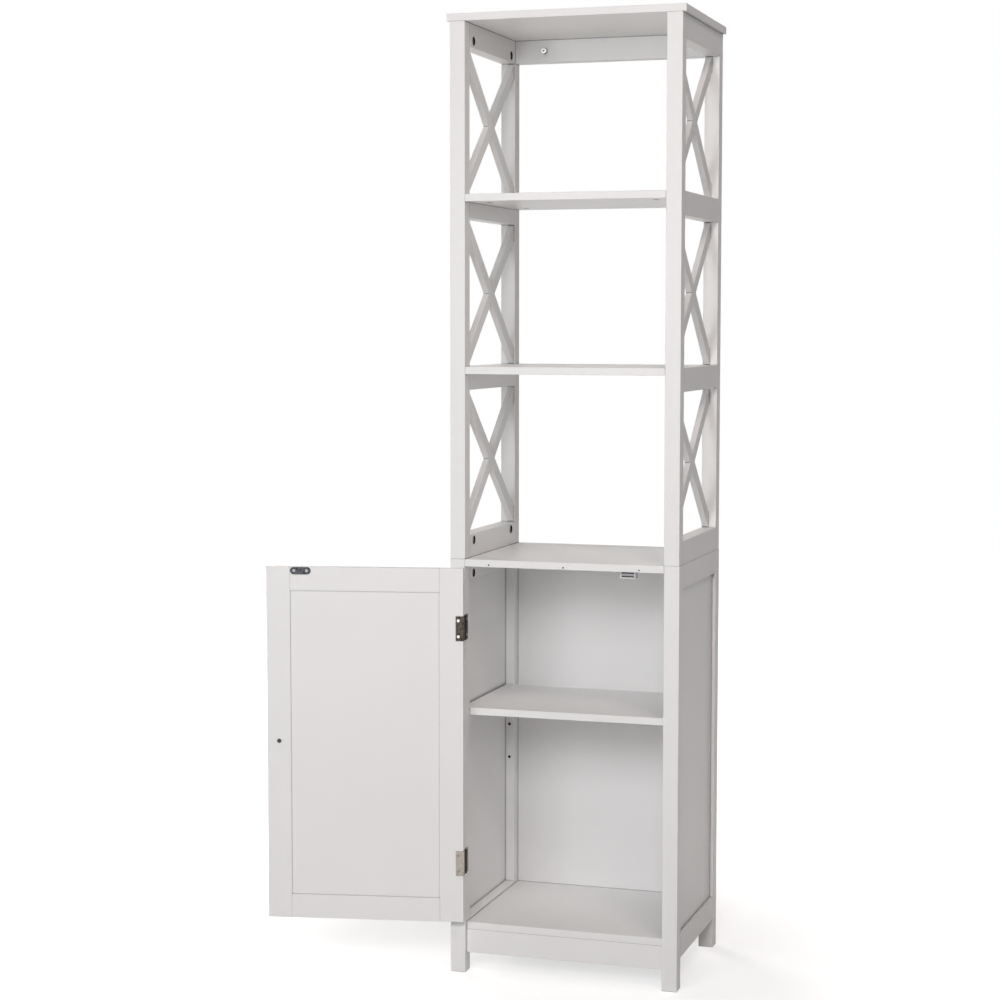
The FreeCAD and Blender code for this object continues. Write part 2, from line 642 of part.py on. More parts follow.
# ---- knob, with the screw that comes through the door from its inside ----
knob = doc.addObject("PartDesign::Body", "door_knob")
swing(knob)
nodes["door_knob"] = {"item": knob, "home": ("0", "0", "0")}
for radius, start, height in (("knob_neck_radius", "0", "knob_neck_height"),
                              ("knob_radius", "knob_neck_height", "knob_height - knob_neck_height")):
    turned = feature_at("door_knob", "AdditiveCylinder",
                        moved(("knob_x", "door_face", "knob_z"), "-y", start), "-y")
    bind(turned, "Radius", radius)
    bind(turned, "Height", height)
ease(knob, turned, lambda edge: edge.Closed and edge.Curve.Radius > SIZES["knob_neck_radius"],
     "knob_rounding")
drill("door_knob", ("knob_x", "door_face", "knob_z"), "-y", "knob_screw_radius", "knob_screw_grip")
drill("door_latch_stile", ("knob_x", "door_face", "knob_z"), "+y", "knob_screw_radius", "door_thickness")
face = ("knob_x", "door_inside", "knob_z")
shank = rod("knob_screw_shank", face, "-y", "knob_screw_radius", "door_thickness + knob_screw_grip")
head = rod("knob_screw_head", face, "+y", "knob_screw_head_radius", "knob_screw_head_height")
recess = cross("knob_screw_cross", "knob_screw_head_height")
bind_place(recess, face, "+y")
group("knob_screw", [cut("knob_screw_cut", fuse("knob_screw_blank", [shank, head]), recess)], on_door=True)

# ---- hinges ----
# Each has three knuckles on one pin: the outer two are the cabinet leaf's, the middle one the door's.
PLACES["knuckle_length"] = "(leaf_height - 2 * knuckle_gap) / 3"
leaves = {"cabinet": [], "door": []}
hinge_screws = {"cabinet": [], "door": []}
hinge_pins = []
for label, level in (("lower", "door_low + hinge_end_distance"),
                     ("upper", "door_high - hinge_end_distance")):
    bottom, top = level + " - leaf_height / 2", level + " + leaf_height / 2"
    spans = {"bottom": (bottom, bottom + " + knuckle_length"),
             "top": (top + " - knuckle_length", top)}
    middle_span = (bottom + " + knuckle_length + knuckle_gap", top + " - knuckle_length - knuckle_gap")
    screw_levels = [level + sign + "hinge_screw_spacing / 2" for sign in (" - ", " + ")]

    # the cabinet's leaf lies on the inner face of the front leg
    name = label + "_cabinet_leaf"
    left, right = "-lower_in", "-lower_in + leaf_thickness"
    pieces = [brick(name + "_plate", (left, "front", bottom), (right, "front + cabinet_leaf_reach", top))]
    for span, (start, stop) in spans.items():
        pieces.append(brick(name + "_neck_" + span, (left, "axis_y", start), (right, "front", stop)))
        pieces.append(rod(name + "_knuckle_" + span, ("axis_x", "axis_y", start), "+z",
                          "knuckle_radius", minus(stop, start)))
    tools = [rod(name + "_bore", ("axis_x", "axis_y", bottom), "+z", "hinge_pin_radius", "leaf_height")]
    for place in screw_levels:
        face = (right, "front + hinge_screw_reach", place)
        item, blank = screw("%s_screw_%d" % (name, len(tools)), face, "+x")
        hinge_screws["cabinet"].append(item)
        tools.append(blank)
        drill("lower_left_front_leg", (left, face[1], place), "-x", "screw_radius",
              "screw_length - leaf_thickness")
    leaves["cabinet"].append(cut(name, fuse(name + "_blank", pieces), fuse(name + "_holes", tools)))
    hinge_pins.append(rod(label + "_hinge_pin", ("axis_x", "axis_y", bottom), "+z",
                          "hinge_pin_radius", "leaf_height"))

    # the door's leaf wraps round the edge of the door onto its inner face
    name = label + "_door_leaf"
    start, stop = middle_span
    outside, flap = "door_near - leaf_thickness", "door_inside + leaf_thickness"
    pieces = [
        brick(name + "_wrap", (outside, "door_face", bottom), ("door_near", flap, top)),
        brick(name + "_flap", ("door_near", "door_inside", bottom),
              ("door_near + door_leaf_reach", flap, top)),
        brick(name + "_neck", (outside, "0", start), ("door_near", "door_face", stop)),
        rod(name + "_knuckle", ("0", "0", start), "+z", "knuckle_radius", minus(stop, start)),
    ]
    tools = [rod(name + "_bore", ("0", "0", bottom), "+z", "hinge_pin_radius + hinge_pin_clearance",
                 "leaf_height")]
    for place in screw_levels:
        face = ("door_near + hinge_screw_reach", flap, place)
        item, blank = screw("%s_screw_%d" % (name, len(tools)), face, "+y")
        hinge_screws["door"].append(item)
        tools.append(blank)
        drill("door_hinge_stile", (face[0], "door_inside", place), "-y", "screw_radius",
              "screw_length - leaf_thickness")
    leaves["door"].append(cut(name, fuse(name + "_blank", pieces), fuse(name + "_holes", tools)))
group("cabinet_hinge_leaves", leaves["cabinet"])
group("cabinet_hinge_screws", hinge_screws["cabinet"])
group("hinge_pins", hinge_pins)
group("door_hinge_leaves", leaves["door"], on_door=True)
group("door_hinge_screws", hinge_screws["door"], on_door=True)

# ---- magnetic catch under the middle board ----
def catch_brick(name, half_width, front_y, back_y, bottom, top):
    return brick(name, ("catch_x - " + half_width, front_y, bottom),
                 ("catch_x + " + half_width, back_y, top))


PLACES["magnet_half"] = "catch_width / 2 - catch_wall"
PLACES["magnet_low"] = "catch_low + catch_wall"
PLACES["magnet_high"] = "middle_board_under - catch_wall"
PLACES["magnet_back"] = "catch_back - catch_wall"
case = catch_brick("catch_case", "catch_width / 2", "catch_front", "catch_back", "catch_low",
                   "middle_board_under")
ears = catch_brick("catch_ears", "ear_span / 2", "ear_middle - ear_depth / 2",
                   "ear_middle + ear_depth / 2", "middle_board_under - ear_thickness", "middle_board_under")
pocket = catch_brick("catch_pocket", "magnet_half", "catch_front", "magnet_back",
                     "magnet_low", "magnet_high")
tools, catch_screws = [pocket], []
for label, x in (("left", "catch_x - (catch_width + ear_span) / 4"),
                 ("right", "catch_x + (catch_width + ear_span) / 4")):
    face = (x, "ear_middle", "middle_board_under - ear_thickness")
    item, blank = screw("catch_screw_" + label, face, "-z")
    catch_screws.append(item)
    tools.append(blank)
    drill("middle_board", (x, "ear_middle", "middle_board_under"), "+z", "screw_radius",
          "screw_length - ear_thickness")
group("catch_housing", [cut("catch_shell", fuse("catch_blank", [case, ears]), fuse("catch_hollow", tools))])
group("catch_screws", catch_screws)
group("catch_magnet", [
    catch_brick("lower_pole", "magnet_half", "pole_front", "magnet_back", "magnet_low",
                "magnet_low + pole_thickness"),
    catch_brick("magnet", "magnet_half", "catch_front", "magnet_back", "magnet_low + pole_thickness",
                "magnet_high - pole_thickness"),
    catch_brick("upper_pole", "magnet_half", "pole_front", "magnet_back",
                "magnet_high - pole_thickness", "magnet_high"),
])

# ---- strike plate on the door, facing the catch when the door is shut ----
PLACES["strike_half"] = "(strike_length - strike_height) / 2"
plate = [brick("strike_middle", ("strike_x - strike_half", "door_inside", "strike_z - strike_height / 2"),
               ("strike_x + strike_half", "door_inside + strike_thickness", "strike_z + strike_height / 2"))]
tools = [cone("strike_dimple", ("strike_x", "door_inside + strike_thickness", "strike_z"), "-y",
              "dimple_radius", "dimple_radius / 3", "dimple_depth")]
strike_screws = []
for label, sign in (("left", "-"), ("right", "+")):
    plate.append(rod("strike_end_" + label, ("strike_x %s strike_half" % sign, "door_inside", "strike_z"),
                     "+y", "strike_height / 2", "strike_thickness"))
    x = "strike_x %s strike_screw_spacing / 2" % sign
    item, blank = screw("strike_screw_" + label, (x, "door_inside + strike_thickness", "strike_z"), "+y")
    strike_screws.append(item)
    tools.append(blank)
    drill("door_top_rail", (x, "door_inside", "strike_z"), "-y", "screw_radius",
          "screw_length - strike_thickness")
group("strike_plate", [cut("strike", fuse("strike_blank", plate), fuse("strike_holes", tools))],
      on_door=True)
group("strike_screws", strike_screws, on_door=True)

# ---- check and write ----
doc.recompute()
faults = [item.Name for item in doc.Objects if "Invalid" in item.State or "Error" in item.State]
if faults:
    raise RuntimeError("not computed: " + ", ".join(faults))
os.makedirs("parts", exist_ok=True)
for name, node in nodes.items():
    shape = node["item"].Shape
    if shape.isNull() or not shape.isValid() or not shape.Solids:
        raise RuntimeError("not a sound shape: " + name)
    node["item"].Label = name
    shape.exportStep("parts/%s.step" % name)
print(len(nodes), "nodes,", sum(len(node["item"].Shape.Solids) for node in nodes.values()), "solids")
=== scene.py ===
import json
import math

import bpy
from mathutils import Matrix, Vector


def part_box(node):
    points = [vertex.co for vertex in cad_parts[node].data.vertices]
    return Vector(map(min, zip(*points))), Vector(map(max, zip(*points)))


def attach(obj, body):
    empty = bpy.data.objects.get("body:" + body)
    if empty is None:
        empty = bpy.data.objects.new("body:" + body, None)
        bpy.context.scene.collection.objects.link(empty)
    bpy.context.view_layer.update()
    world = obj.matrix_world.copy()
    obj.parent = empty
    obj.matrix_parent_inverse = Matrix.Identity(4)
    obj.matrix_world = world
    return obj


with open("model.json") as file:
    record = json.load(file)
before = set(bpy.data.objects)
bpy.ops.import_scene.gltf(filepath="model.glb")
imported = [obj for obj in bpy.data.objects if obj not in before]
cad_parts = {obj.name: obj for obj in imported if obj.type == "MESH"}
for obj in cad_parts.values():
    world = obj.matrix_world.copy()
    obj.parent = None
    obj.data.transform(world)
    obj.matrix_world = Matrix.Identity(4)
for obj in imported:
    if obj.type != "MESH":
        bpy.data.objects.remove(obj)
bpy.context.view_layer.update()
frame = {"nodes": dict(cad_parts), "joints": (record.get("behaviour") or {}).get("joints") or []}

nodes = frame["nodes"]
mm = 0.001
print("frame loaded with", len(nodes), "nodes")


# shader helpers

def newMaterial(name):
    material = bpy.data.materials.new(name)
    material.use_nodes = True
    tree = material.node_tree
    return material, tree, tree.nodes["Principled BSDF"]


def addNode(tree, kind, **settings):
    node = tree.nodes.new(kind)
    for key, value in settings.items():
        setattr(node, key, value)
    return node


# sets a socket, or links another node's output to it
def feed(tree, socket, value):
    if isinstance(value, (int, float, tuple)):
        socket.default_value = value
    else:
        tree.links.new(value, socket)


def addMath(tree, operation, first, second=None, third=None):
    node = addNode(tree, "ShaderNodeMath", operation=operation)
    for socket, value in zip(node.inputs, (first, second, third)):
        if value is not None:
            feed(tree, socket, value)
    return node.outputs[0]


def addNoise(tree, vector, scale, detail=2.0):
    noise = addNode(tree, "ShaderNodeTexNoise")
    feed(tree, noise.inputs["Vector"], vector)
    feed(tree, noise.inputs["Scale"], scale)
    feed(tree, noise.inputs["Detail"], detail)
    return noise.outputs["Fac"]


def addMix(tree, factor, first, second):
    mix = addNode(tree, "ShaderNodeMix", data_type="RGBA")
    feed(tree, mix.inputs["Factor"], factor)
    feed(tree, mix.inputs["A"], first)
    feed(tree, mix.inputs["B"], second)
    return mix.outputs["Result"]


# spreads the values between two levels over 0 to 1
def addSpread(tree, value, levels, interpolation="LINEAR"):
    spread = addNode(tree, "ShaderNodeMapRange", interpolation_type=interpolation)
    feed(tree, spread.inputs["Value"], value)
    for label, level in zip(("From Min", "From Max"), levels):
        feed(tree, spread.inputs[label], level)
    return spread


def objectPlace(tree):
    return addNode(tree, "ShaderNodeTexCoord").outputs["Object"]


def splitAxes(tree, vector):
    split = addNode(tree, "ShaderNodeSeparateXYZ")
    feed(tree, split.inputs["Vector"], vector)
    return split.outputs


# the place on the piece, drawn out along its height
def stretchedPlace(tree, stretch):
    mapping = addNode(tree, "ShaderNodeMapping")
    feed(tree, mapping.inputs["Scale"], stretch)
    feed(tree, mapping.inputs["Vector"], objectPlace(tree))
    return mapping.outputs["Vector"]


# a mask that is 1 where the piece stands over a height
def aboveLevel(tree, level):
    return addMath(tree, "GREATER_THAN", splitAxes(tree, objectPlace(tree))["Z"], level)


def newGroup(name, inputs, outputs):
    group = bpy.data.node_groups.new(name, "ShaderNodeTree")
    for label, kind, default in inputs:
        socket = group.interface.new_socket(name=label, in_out="INPUT", socket_type=kind)
        socket.default_value = default
    for label, kind in outputs:
        group.interface.new_socket(name=label, in_out="OUTPUT", socket_type=kind)
    return group, group.nodes.new("NodeGroupInput").outputs, group.nodes.new("NodeGroupOutput").inputs


def addBump(tree, shader, height, distance):
    bump = addNode(tree, "ShaderNodeBump")
    feed(tree, bump.inputs["Distance"], distance)
    feed(tree, bump.inputs["Height"], height)
    feed(tree, shader.inputs["Normal"], bump.outputs["Normal"])


# a finish group in a material, with this material's own values
def wearFinish(tree, shader, group, values, bumpDistance):
    node = addNode(tree, "ShaderNodeGroup", node_tree=group)
    for label, value in values.items():
        feed(tree, node.inputs[label], value)
    feed(tree, shader.inputs["Base Color"], node.outputs["Color"])
    feed(tree, shader.inputs["Roughness"], node.outputs["Roughness"])
    addBump(tree, shader, node.outputs["Height"], bumpDistance)


finishOutputs = (
    ("Color", "NodeSocketColor"), ("Roughness", "NodeSocketFloat"), ("Height", "NodeSocketFloat"))


# spray lacquer, with painted corner shade

lacquerFinish = {
    "boardTone": (0.93, 0.928, 0.925, 1), "panelTone": (0.925, 0.92, 0.92, 1),
    "boardGloss": 0.42, "panelGloss": 0.38, "boardPeel": 750, "panelPeel": 1100,
    "peelDepth": 0.02 * mm, "refraction": 1.45,
    "drift": 0.05, "cloudScale": 5.0, "cloudDetail": 3.0,  # the tone drifts from coat to coat
    "mottleScale": 60.0, "mottleReach": 0.12,              # and so does the gloss
    # painted corner shade: the lacquer is darkened within this reach of any inside corner, with a wider
    # reach on the recessed panels
    "cornerShadeReach": 2.2 * mm, "deepCornerShadeReach": 8 * mm, "cornerShadeLevel": 0.38,
    "cornerShadeSamples": 6, "cornerShadeOpenness": (0.50, 0.92),        # the painted corner shade fades from a tight corner to an open face
}


# a very fine orange peel, slight drifts of tone and gloss, and painted shade that darkens the lacquer in
# every inside corner and recess, where boards meet
def buildLacquerGroup():
    group, source, result = newGroup(
        "sprayLacquerWithCornerShade",
        (("Tone", "NodeSocketColor", (0.8, 0.8, 0.8, 1)), ("Drift", "NodeSocketFloat", 0.03),
         ("Gloss", "NodeSocketFloat", 0.4), ("Peel Scale", "NodeSocketFloat", 700),
         ("Corner Shade Reach", "NodeSocketFloat", 0.002), ("Corner Shade Level", "NodeSocketFloat", 0.4)),
        finishOutputs)
    place = objectPlace(group)
    cloud = addNoise(group, place, lacquerFinish["cloudScale"], lacquerFinish["cloudDetail"])
    drift = addMath(group, "MULTIPLY", source["Drift"], addMath(group, "SUBTRACT", cloud, 0.5))
    # painted shade: ambient occlusion darkens the tone near inside corners and recesses
    cornerOcclusion = addNode(group, "ShaderNodeAmbientOcclusion", samples=lacquerFinish["cornerShadeSamples"])
    feed(group, cornerOcclusion.inputs["Distance"], source["Corner Shade Reach"])
    cornerShade = addSpread(group, cornerOcclusion.outputs["AO"], lacquerFinish["cornerShadeOpenness"], "SMOOTHSTEP")
    feed(group, cornerShade.inputs["To Min"], source["Corner Shade Level"])
    shade = addNode(group, "ShaderNodeVectorMath", operation="SCALE")
    feed(group, shade.inputs["Vector"], source["Tone"])
    level = addMath(group, "MULTIPLY", addMath(group, "ADD", drift, 1.0), cornerShade.outputs["Result"])
    feed(group, shade.inputs["Scale"], level)
    feed(group, result["Color"], shade.outputs["Vector"])
    mottle = addNoise(group, place, lacquerFinish["mottleScale"])
    lowest = addMath(group, "SUBTRACT", source["Gloss"], lacquerFinish["mottleReach"] / 2)
    rough = addMath(group, "MULTIPLY_ADD", mottle, lacquerFinish["mottleReach"], lowest)
    feed(group, result["Roughness"], rough)
    feed(group, result["Height"], addNoise(group, place, source["Peel Scale"]))
    return group


lacquerGroup = buildLacquerGroup()


# kind is board or panel
# reach picks how far the painted corner shade spreads
def lacquerMaterial(name, kind, reach):
    material, tree, shader = newMaterial(name)
    feed(tree, shader.inputs["IOR"], lacquerFinish["refraction"])
    wearFinish(tree, shader, lacquerGroup, {
        "Tone": lacquerFinish[kind + "Tone"], "Drift": lacquerFinish["drift"],
        "Gloss": lacquerFinish[kind + "Gloss"], "Peel Scale": lacquerFinish[kind + "Peel"],
        "Corner Shade Reach": lacquerFinish[reach], "Corner Shade Level": lacquerFinish["cornerShadeLevel"]},
        lacquerFinish["peelDepth"])
    return material


# plated or brushed metal

platedFinish = {
    "brushing": (1.0, 1.0, 0.08), "grainScale": 900, "grainReach": 0.2, "grainDepth": 0.01 * mm,
    "spotScale": 260.0, "spotDetail": 3.0, "spotLevels": (0.45, 0.65),
}
platings = {
    "zincSteel": {"bright": (0.60, 0.60, 0.60, 1), "dull": (0.42, 0.42, 0.41, 1), "gloss": 0.28},
    "dullZinc": {"bright": (0.30, 0.30, 0.31, 1), "dull": (0.15, 0.15, 0.16, 1), "gloss": 0.35},
    "strikeSteel": {"bright": (0.066, 0.068, 0.076, 1), "dull": (0.016, 0.016, 0.019, 1), "gloss": 0.3},
    "knobNickel": {"bright": (0.64, 0.61, 0.56, 1), "dull": (0.5, 0.47, 0.43, 1), "gloss": 0.25,
                   "grain": 500},
}


# fine grain along one direction, and small spots where the finish is duller
def buildPlatingGroup():
    group, source, result = newGroup(
        "plating",
        (("Bright", "NodeSocketColor", (0.7, 0.7, 0.7, 1)),
         ("Dull", "NodeSocketColor", (0.4, 0.4, 0.4, 1)),
         ("Gloss", "NodeSocketFloat", 0.3), ("Grain Scale", "NodeSocketFloat", 900)),
        finishOutputs)
    grain = addNoise(group, stretchedPlace(group, platedFinish["brushing"]), source["Grain Scale"])
    spots = addNoise(group, objectPlace(group), platedFinish["spotScale"], platedFinish["spotDetail"])
    spotMask = addSpread(group, spots, platedFinish["spotLevels"]).outputs["Result"]
    feed(group, result["Color"], addMix(group, spotMask, source["Bright"], source["Dull"]))
    rough = addMath(group, "MULTIPLY_ADD", grain, platedFinish["grainReach"], source["Gloss"])
    feed(group, result["Roughness"], rough)
    feed(group, result["Height"], grain)
    return group


platingGroup = buildPlatingGroup()


def wearPlating(tree, shader, bright, dull, gloss,
                grain=platedFinish["grainScale"], metallic=1.0, depth=platedFinish["grainDepth"]):
    feed(tree, shader.inputs["Metallic"], metallic)
    wearFinish(tree, shader, platingGroup, {
        "Bright": bright, "Dull": dull, "Gloss": gloss, "Grain Scale": grain}, depth)


def platedMaterial(name):
    material, tree, shader = newMaterial(name)
    wearPlating(tree, shader, **platings[name])
    return material


hingeFinish = {
    "between": 0.38,                                       # painted reflection: the upper hinge is painted dark, the lower one pale
    "upperReflectedDark": (0.075, 0.064, 0.052, 1), "upperReflectedDarkDull": (0.016, 0.013, 0.010, 1),
    "nickel": (0.33, 0.30, 0.26, 1), "lowerReflectedPaleDull": (0.25, 0.225, 0.195, 1),
    "barrelDarkest": (0.008, 0.007, 0.006, 1), "barrelDarker": (0.05, 0.042, 0.035, 1),
    "barrel": 2.9 * mm, "ringsPerMetre": 250, "darkestShare": 0.6,  # the rolled barrel is painted near black, in rings along it
    # painted reflection: the upper hinge's screws are painted pale, the lower ones dark
    "upperScrewReflection": (0.62, 0.61, 0.59, 1), "lowerScrewReflection": (0.20, 0.20, 0.20, 1),
    "gloss": 0.35, "screwGloss": 0.3, "grain": 1200, "metallic": 0.9,
}


def hingeMaterial():
    material, tree, shader = newMaterial("hingePlating")
    upper = aboveLevel(tree, hingeFinish["between"])
    place = objectPlace(tree)
    doorHinge = next(joint for joint in frame["joints"] if joint["name"] == "door_hinge")
    fromAxis = addNode(tree, "ShaderNodeVectorMath", operation="SUBTRACT")
    feed(tree, fromAxis.inputs[0], place)
    feed(tree, fromAxis.inputs[1], tuple(doorHinge["pos_m"]))
    inPlan = addNode(tree, "ShaderNodeVectorMath", operation="MULTIPLY")
    feed(tree, inPlan.inputs[0], fromAxis.outputs["Vector"])
    feed(tree, inPlan.inputs[1], (1, 1, 0))
    reach = addNode(tree, "ShaderNodeVectorMath", operation="LENGTH")
    feed(tree, reach.inputs[0], inPlan.outputs["Vector"])
    inBarrel = addMath(tree, "LESS_THAN", reach.outputs["Value"], hingeFinish["barrel"])
    turns = addMath(tree, "MULTIPLY", splitAxes(tree, place)["Z"], hingeFinish["ringsPerMetre"])
    onRing = addMath(tree, "GREATER_THAN", addMath(tree, "FRACT", turns), hingeFinish["darkestShare"])
    barrelTone = addMix(tree, onRing, hingeFinish["barrelDarkest"], hingeFinish["barrelDarker"])
    # painted reflection: the plate tone is split by height, dark on the upper hinge and pale on the lower
    bright = addMix(tree, upper, hingeFinish["nickel"], hingeFinish["upperReflectedDark"])
    dull = addMix(tree, upper, hingeFinish["lowerReflectedPaleDull"], hingeFinish["upperReflectedDarkDull"])
    wearPlating(tree, shader,
                addMix(tree, inBarrel, bright, barrelTone), addMix(tree, inBarrel, dull, barrelTone),
                hingeFinish["gloss"], hingeFinish["grain"], hingeFinish["metallic"])
    return material


def hingeScrewMaterial():
    material, tree, shader = newMaterial("hingeScrews")
    upper = aboveLevel(tree, hingeFinish["between"])
    # painted reflection: the screw tone is split by height
    tone = addMix(tree, upper, hingeFinish["lowerScrewReflection"], hingeFinish["upperScrewReflection"])
    wearPlating(tree, shader, tone, tone, hingeFinish["screwGloss"], metallic=hingeFinish["metallic"])
    return material


camFinish = {
    # the near-black tone is painted shade on the cam flanks, down in their holes
    "zinc": (0.46, 0.46, 0.46, 1), "zincDull": (0.30, 0.30, 0.29, 1), "holeShade": (0.012, 0.011, 0.010, 1),
    "railStart": 155 * mm,                                 # locks further out than this lie on their side
    "faceLevel": 0.8, "gloss": 0.42, "grain": 800, "metallic": 0.35, "depth": 0.02 * mm,
}


# cam locks: zinc faces, with every other surface painted near black as the shade down in their holes. The
# face looks along X in the rails and along Z in the boards
def camMaterial():
    material, tree, shader = newMaterial("camZinc")
    coords = addNode(tree, "ShaderNodeTexCoord")
    aside = addMath(tree, "ABSOLUTE", splitAxes(tree, coords.outputs["Object"])["X"])
    inRail = addMath(tree, "GREATER_THAN", aside, camFinish["railStart"])
    facing = splitAxes(tree, coords.outputs["Normal"])
    railFace = addMath(tree, "MULTIPLY", inRail, addMath(tree, "ABSOLUTE", facing["X"]))
    inBoard = addMath(tree, "SUBTRACT", 1.0, inRail)
    boardFace = addMath(tree, "MULTIPLY", inBoard, addMath(tree, "ABSOLUTE", facing["Z"]))
    along = addMath(tree, "ADD", railFace, boardFace)
    isFace = addMath(tree, "GREATER_THAN", along, camFinish["faceLevel"])
    wearPlating(tree, shader, addMix(tree, isFace, camFinish["holeShade"], camFinish["zinc"]),
                addMix(tree, isFace, camFinish["holeShade"], camFinish["zincDull"]),
                camFinish["gloss"], camFinish["grain"], camFinish["metallic"], camFinish["depth"])
    return material


# near-black fibreboard as painted hole shade, and beech

holeShadeFinish = {
    # bare board, darkened to near black as painted shade in the holes
    "dark": (0.012, 0.008, 0.005, 1), "pale": (0.035, 0.023, 0.014, 1),
    "scale": 2500.0, "detail": 3.0, "gloss": 0.9, "depth": 0.1 * mm,
}
beechFinish = {
    "dark": (0.42, 0.26, 0.13, 1), "pale": (0.62, 0.43, 0.25, 1),
    "scale": 1200.0, "detail": 4.0, "gloss": 0.6, "depth": 0.05 * mm, "along": (1.0, 1.0, 0.1),
}


def grainedMaterial(name, finish):
    material, tree, shader = newMaterial(name)
    place = stretchedPlace(tree, finish["along"]) if "along" in finish else objectPlace(tree)
    grain = addNoise(tree, place, finish["scale"], finish["detail"])
    feed(tree, shader.inputs["Base Color"], addMix(tree, grain, finish["dark"], finish["pale"]))
    feed(tree, shader.inputs["Roughness"], finish["gloss"])
    addBump(tree, shader, grain, finish["depth"])
    return material


# moulded and turned faces: a very fine sparkle in gloss and relief

sparkle = {"scale": 3500.0, "detail": 1.0, "reach": 0.12, "depth": 0.03 * mm}


def addSparkle(tree, shader, gloss):
    spark = addNoise(tree, objectPlace(tree), sparkle["scale"], sparkle["detail"])
    feed(tree, shader.inputs["Roughness"], addMath(tree, "MULTIPLY_ADD", spark, sparkle["reach"], gloss))
    addBump(tree, shader, spark, sparkle["depth"])


catchFinish = {
    "pole": (0.018, 0.018, 0.020, 1), "magnet": (0.28, 0.28, 0.295, 1), "plate": 2 * mm,
    "case": (0.88, 0.88, 0.87, 1), "ear": (0.012, 0.012, 0.013, 1), "bodyWidth": 24.5 * mm,
    "earGap": 0.1 * mm, "poleGloss": 0.35, "caseGloss": 0.45, "metallic": 0.5,
}


# the magnet lies between two dark pole plates, above and below it
def magnetMaterial():
    material, tree, shader = newMaterial("poleSteel")
    low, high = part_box("catch_magnet")
    above = aboveLevel(tree, low.z + catchFinish["plate"])
    below = addMath(tree, "SUBTRACT", 1.0, aboveLevel(tree, high.z - catchFinish["plate"]))
    between = addMath(tree, "MULTIPLY", above, below)
    tone = addMix(tree, between, catchFinish["pole"], catchFinish["magnet"])
    wearPlating(tree, shader, tone, tone, catchFinish["poleGloss"], metallic=catchFinish["metallic"])
    return material


# the pale case of the catch, with the ear at each side painted near black
def caseMaterial():
    material, tree, shader = newMaterial("catchCase")
    low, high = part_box("catch_housing")
    fromMiddle = addMath(tree, "SUBTRACT", splitAxes(tree, objectPlace(tree))["X"], (low.x + high.x) / 2)
    earStart = catchFinish["bodyWidth"] / 2 + catchFinish["earGap"]
    onEar = addMath(tree, "GREATER_THAN", addMath(tree, "ABSOLUTE", fromMiddle), earStart)
    feed(tree, shader.inputs["Base Color"], addMix(tree, onEar, catchFinish["case"], catchFinish["ear"]))
    addSparkle(tree, shader, catchFinish["caseGloss"])
    return material


bushFinish = {
    "face": (0.96, 0.96, 0.95, 1), "shadedFlank": (0.03, 0.028, 0.026, 1), "gloss": 0.2, "faceLevel": 0.8,
}


# bright nickel faces; the flanks and the bore are painted near black as the shade beside and inside each
# bush
def bushMaterial():
    material, tree, shader = newMaterial("bushNickel")
    facing = splitAxes(tree, addNode(tree, "ShaderNodeTexCoord").outputs["Normal"])
    outward = addMath(tree, "ABSOLUTE", facing["Y"])
    isFace = addMath(tree, "GREATER_THAN", outward, bushFinish["faceLevel"])
    # painted shade: every face that does not look out along Y is near black
    feed(tree, shader.inputs["Base Color"], addMix(tree, isFace, bushFinish["shadedFlank"], bushFinish["face"]))
    feed(tree, shader.inputs["Metallic"], isFace)
    addSparkle(tree, shader, bushFinish["gloss"])
    return material


boardLacquer = lacquerMaterial("boardLacquer", "board", "cornerShadeReach")
panelLacquer = lacquerMaterial("panelLacquer", "panel", "cornerShadeReach")
# the recessed side panels take the wider painted corner shade, which stands for the shadow under the
# rails
recessedLacquer = lacquerMaterial("recessedLacquer", "panel", "deepCornerShadeReach")
zincSteel = platedMaterial("zincSteel")
dullZinc = platedMaterial("dullZinc")
strikeSteel = platedMaterial("strikeSteel")
hingePlating = hingeMaterial()
hingeScrews = hingeScrewMaterial()
holeShadeFibreboard = grainedMaterial("holeShadeFibreboard", holeShadeFinish)

wornBy = {
    "cam_locks": camMaterial(), "cam_bolts": zincSteel,
    "frame_dowels": grainedMaterial("beech", beechFinish),
    "wall_bushes": bushMaterial(), "shelf_pins": zincSteel, "back_panel_nails": zincSteel,
    "cabinet_hinge_leaves": hingePlating, "door_hinge_leaves": hingePlating, "hinge_pins": zincSteel,
    "cabinet_hinge_screws": hingeScrews, "door_hinge_screws": hingeScrews,
    "catch_housing": caseMaterial(), "catch_magnet": magnetMaterial(), "catch_screws": dullZinc,
    "strike_plate": strikeSteel, "strike_screws": dullZinc,
    "door_knob": platedMaterial("knobNickel"), "knob_screw": strikeSteel,
    "left_side_panel": recessedLacquer, "right_side_panel": recessedLacquer,
    "back_panel": panelLacquer, "door_panel": panelLacquer,
}
for name, node in nodes.items():
    node.data.materials.clear()
    node.data.materials.append(wornBy.get(name, boardLacquer))
print("materials on", len(nodes), "nodes")


# new pieces: cups of bare board in the drilled holes, painted near black as the shade in the holes

def deselectAll():
    bpy.ops.object.select_all(action="DESELECT")


holeShadeLining = {"wall": 0.15 * mm, "clearance": 0.02 * mm, "sides": 32}


